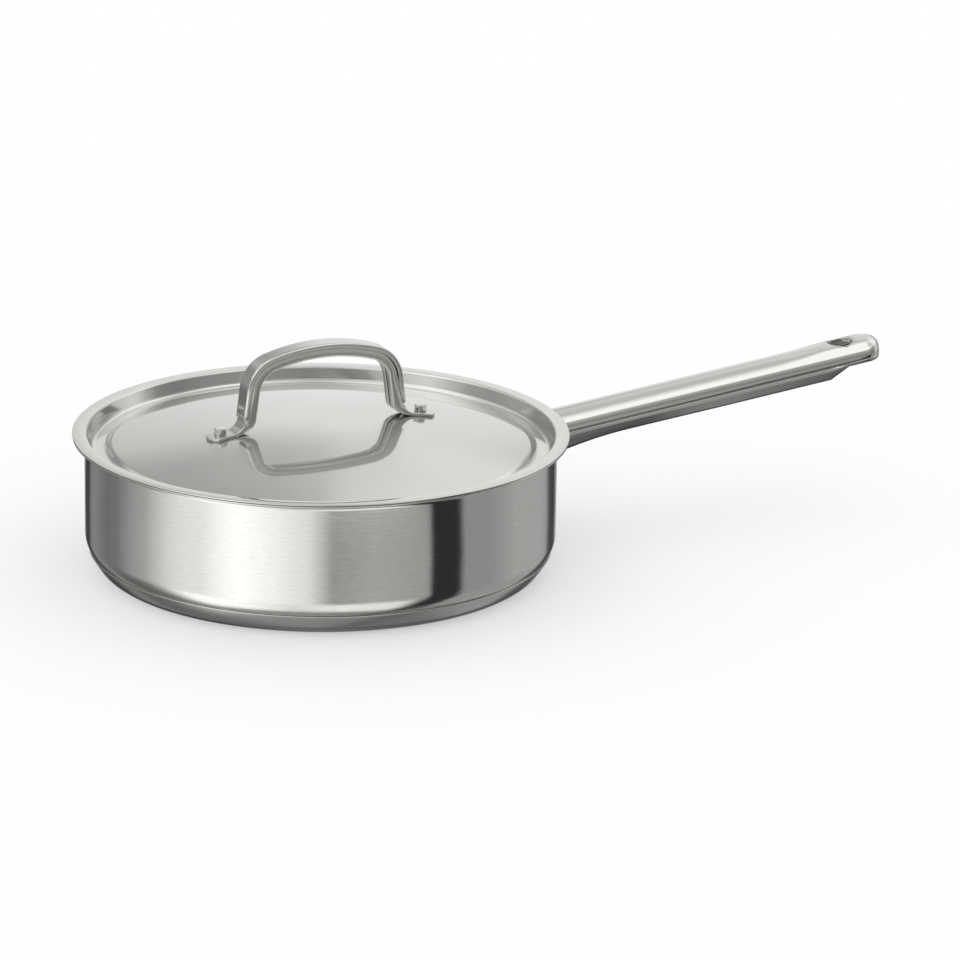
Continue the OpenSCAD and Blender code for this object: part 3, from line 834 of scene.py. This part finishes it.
def strap_ring(place):
    """Closed cross-section of the strap at a place, from the middle of its top round and back."""
    x, z, dx, dz = place
    deep = depth_at(*place)
    web_t = min(strap_t, deep)
    half = strap_half + flare * (math.hypot(x - flare_from, flare_soft) + x - flare_from) / 2
    inner = half * inner_share
    formed = share_of(deep, formed_from, formed_over)
    swollen = half + side_swell * formed
    hem = inner - (inner - hem_gap) * formed
    hem_top = deep - min(hem_t, hem_share * (deep - web_t))
    right = [(half * n / 4, 0.0) for n in range(5)]
    right += [(swollen, deep / 3), (swollen, deep * 2 / 3), (half, deep)]
    right += [(hem, deep), (hem, hem_top), (inner, hem_top)]
    right += [(inner * n / 3, web_t) for n in (3, 2, 1, 0)]
    bulge = max(0.0, (x - flare_from) / (corner_x - flare_from)) ** 2
    ring = []
    for across, down in right + [(-a, d) for a, d in right[-2:0:-1]]:
        round_end = math.sqrt(tab_end_r ** 2 - (tab_half * across / half) ** 2)
        out_to = bulge * (round_end - corner_x + tab_tip - tab_end_r)
        ring.append((x + dx * down + out_to * tab_c, across, z + dz * down - out_to * tab_s))
    return ring


tab_to = (corner_x - stud_x - (contact_gap + strap_t) * tab_s) / tab_c
tab_steps = 16
tab_places = [tab_at(foot_from + (tab_to - foot_from) * n / tab_steps, strap_t)
              for n in range(1, tab_steps + 1)]
strap_places = (
    arch(0)
    + stations(bow_x, bow_z, foot_r, 180 + leg_lean, 270 - tab_lean, 24, 1)
    + [(x, z, -tab_s, -tab_c) for x, z in tab_places])
rings = both_ends([strap_ring(place) for place in strap_places])
# Each end is closed with faces from the top's edge down to the underside's.
wide = len(rings[0]) + 1
right_end = [(4, 5, 6, 7, 8, 3), (3, 11, 12, 2), (2, 12, 13, 1), (1, 13, 14, 0)]
both_halves = right_end + [tuple((wide - 1 - c) % (wide - 1) for c in face) for face in right_end]
last = (len(rings) - 1) * wide
strap = skin("lid_handle_strap", [ring + ring[:1] for ring in rings],
             both_halves + [tuple(last + c for c in face) for face in both_halves])
# The outer corners, the ends and the lower edges of the sides get a soft round. In a ring,
# corner 4 is the top's, 7 the side's lower one, and 8 and 9 are the hem's.
corner_round = 1.1
small_share = 0.4
grows_from, grows_over = 3.5, 2.0
hem_round_from = 4.0
weights = strap.data.attributes.new("bevel_weight_edge", "FLOAT", "EDGE")
for number, edge in enumerate(strap.data.edges):
    (row, column), (other_row, other_column) = sorted(divmod(v, wide) for v in edge.vertices)
    deep = depth_at(*strap_places[abs(row - len(rings) // 2)])
    corner = min(column, wide - 1 - column)
    softness = 0.0
    if row == other_row:
        if row in (0, len(rings) - 1) and other_column - column in (1, wide - 2):
            softness = small_share
    elif corner == 7:
        softness = small_share + (1 - small_share) * share_of(deep, grows_from, grows_over)
    elif corner == 4 or (corner in (8, 9) and deep > hem_round_from):
        softness = small_share
    weights.data[number].value = softness
bpy.ops.object.mode_set(mode="EDIT")
bpy.ops.mesh.select_all(action="SELECT")
bpy.ops.mesh.remove_doubles(threshold=merge_gap)
bpy.ops.mesh.dissolve_degenerate(threshold=merge_gap)
bpy.ops.mesh.normals_make_consistent(inside=False)
bpy.ops.object.mode_set(mode="OBJECT")


stud_gap = 0.1
drill_len = 12.0
for end in (-1, 1):
    bpy.ops.object.select_all(action="DESELECT")
    bpy.ops.mesh.primitive_cylinder_add(vertices=64, radius=(stud_r + stud_gap) * MM,
                                        depth=drill_len * MM,
                                        location=(end * stud_x * MM, 0, tab_top * MM))
    combine(strap, bpy.context.object, "DIFFERENCE")
soft = strap.modifiers.new("edges", "BEVEL")
soft.width = corner_round * MM
soft.segments = 4
soft.limit_method = "WEIGHT"
soft.use_clamp_overlap = False
bpy.ops.object.modifier_apply(modifier="edges")
bpy.ops.object.shade_smooth_by_angle(angle=math.radians(35))
strap.data.materials.append(polished)
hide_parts("lid_strap")
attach(strap, "lid_assembly")

# Lid handle, grip: thinner stainless sheet, folded down over the strap from end to end. It
# stops in a lip above each tab.
grip_corner = 1.4
grip_edge = 0.22
fold_depth = 2.6
lip_up = 7.4
lip_z = tab_top + lip_up


def grip_row(place):
    """Cross-section of the grip: flat top, round corner, short side."""
    x, z, dx, dz = place
    line = [((grip_half - grip_corner) * n / 4, 0.0) for n in range(5)]
    for n in range(1, 7):
        turned = math.radians(15 * n)
        line.append((grip_half - grip_corner + grip_corner * math.sin(turned),
                     grip_corner * (1 - math.cos(turned))))
    line += [(grip_half, grip_corner + (fold_depth - grip_corner) * n / 2) for n in (1, 2)]
    right = [(x + dx * n, y, z + dz * n) for y, n in line]
    return [(px, -py, pz) for px, py, pz in right[:0:-1]] + right


grip_places = arch(-cover_off)
shoulder_end = grip_places[-1]
run = (shoulder_end[1] - lip_z) / leg_x
grip_places += [(shoulder_end[0] + run * leg_z * n / 6, shoulder_end[1] - run * leg_x * n / 6,
                 -leg_x, -leg_z) for n in range(1, 7)]


grip = skin("lid_handle_grip", both_ends([grip_row(place) for place in grip_places]))
finish_sheet(grip, cover_t, grip_edge)
grip.data.materials.append(polished)
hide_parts("lid_grip")
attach(grip, "lid_assembly")
